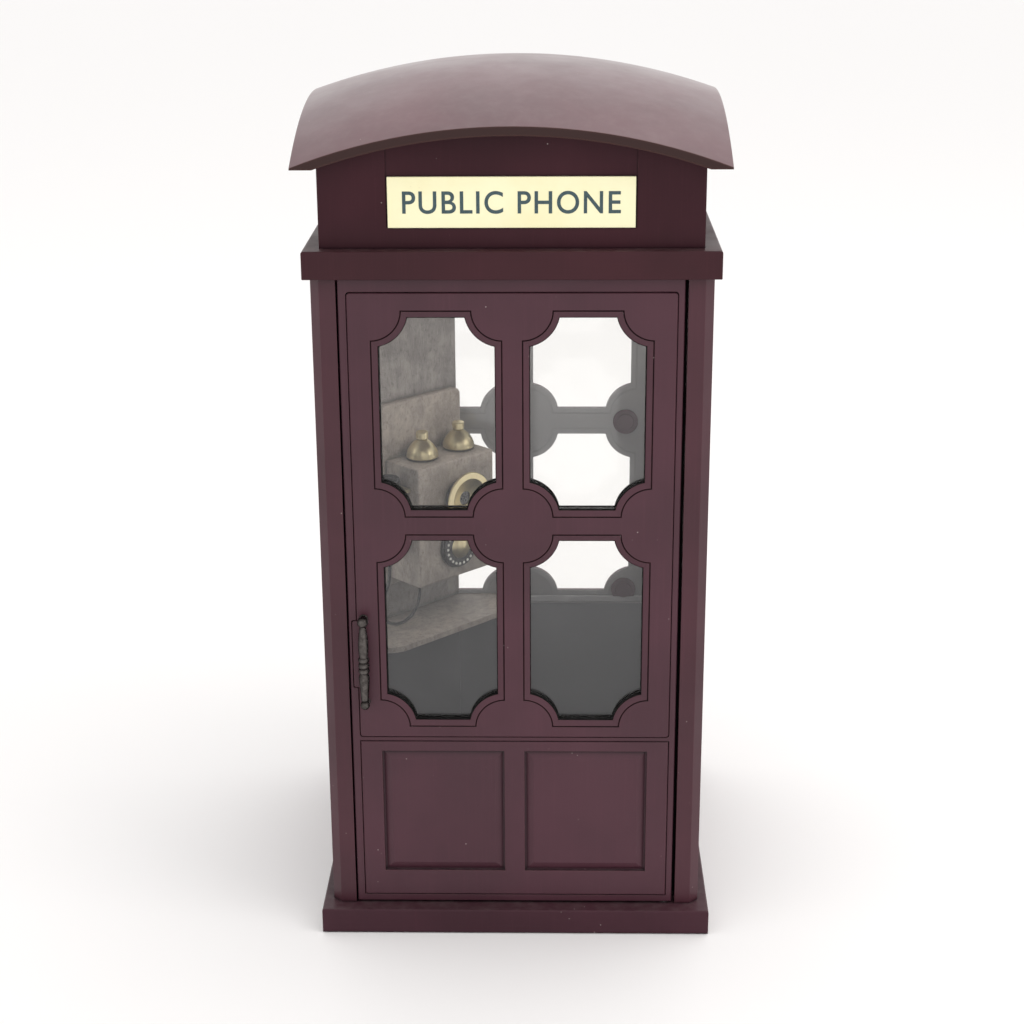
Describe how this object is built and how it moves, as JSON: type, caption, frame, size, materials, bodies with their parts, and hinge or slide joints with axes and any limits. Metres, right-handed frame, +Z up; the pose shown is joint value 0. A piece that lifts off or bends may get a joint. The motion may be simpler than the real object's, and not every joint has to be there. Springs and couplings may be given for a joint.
{
  "type": "telephone booth",
  "caption": "Square model telephone booth with a domed roof, hinged lattice door, clear panes, and a wall telephone with bells, dial and receiver on a diagonal board",
  "frame": {"origin": "on the ground at the centre of the plan", "axes": "+Z up, the door faces -Y, +X to the right of a person facing the door"},
  "size_m": [0.182, 0.182, 0.3925],
  "materials": {
    "plum": "satin moulded plastic, dark plum",
    "plum_roof": "satin moulded plastic, dark plum",
    "dark_floor": "matte",
    "clear_pane": "clear sheet with a light haze",
    "felt": "felt",
    "cream_plate": "semi-gloss printed plate",
    "steel": "plain",
    "pewter": "dark antique casting",
    "grey_board": "matte",
    "phone_wood": "open grain, grey-brown stain",
    "aged_brass": "aged brass",
    "black_plastic": "semi-gloss",
    "white_enamel": "gloss",
    "cord_black": "braided cord"
  },
  "bodies": {
    "booth": {"plinth": "plum", "foot_pads": "felt", "floor_board": "dark_floor", "post_front_left": "plum", "post_front_right": "plum", "post_back_left": "plum", "post_back_right": "plum", "wall_left": "plum", "wall_right": "plum", "wall_back": "plum", "beads_left": "plum", "beads_right": "plum", "beads_back": "plum", "pane_left": "clear_pane", "pane_right": "clear_pane", "pane_back": "clear_pane", "pane_bosses": "plum", "cornice": "plum", "ceiling_board": "plum", "frieze_front": "plum", "frieze_back": "plum", "frieze_left": "plum", "frieze_right": "plum", "frieze_blocks": "plum", "sign_plate": "cream_plate", "roof_shell": "plum_roof", "hinge_pins": "steel", "door_stop": "plum", "catch_magnet": "steel", "phone_board": "grey_board", "backboard": "phone_wood", "shelf": "phone_wood", "phone_box": "phone_wood", "bell_left": "aged_brass", "bell_right": "aged_brass", "bell_studs": "aged_brass", "bell_nuts": "aged_brass", "mouth_neck": "black_plastic", "mouth_horn": "aged_brass", "mouth_grille": "black_plastic", "dial_plate": "black_plastic", "receiver_hook": "aged_brass", "cord_gland": "black_plastic", "receiver_cord": "cord_black"},
    "door": {"door_frame": "plum", "door_lattice": "plum", "door_beads": "plum", "door_pane": "clear_pane", "door_panel": "plum", "catch_plate": "steel", "door_handle": "pewter", "handle_rosettes": "pewter", "handle_screws": "steel"},
    "dial": {"dial_wheel": "black_plastic", "dial_pips": "white_enamel", "dial_cap": "aged_brass"},
    "receiver": {"receiver_body": "black_plastic", "receiver_cap": "black_plastic"}
  },
  "joints": [
    {"name": "door_hinge", "type": "hinge", "parent": "booth", "child": "door", "pos_m": [0.0696, -0.0799, 0.1612], "axis": [0, 0, 1], "range_deg": [0, 97]},
    {"name": "dial_turn", "type": "hinge", "parent": "booth", "child": "dial", "pos_m": [-0.02957, 0.038, 0.1462], "axis": [0.7071, -0.7071, 0], "range_deg": [-300, 0]},
    {"name": "receiver_lift", "type": "slide", "parent": "booth", "child": "receiver", "axis": [0, 0, 1], "range_m": [0, 0.01]}
  ]
}
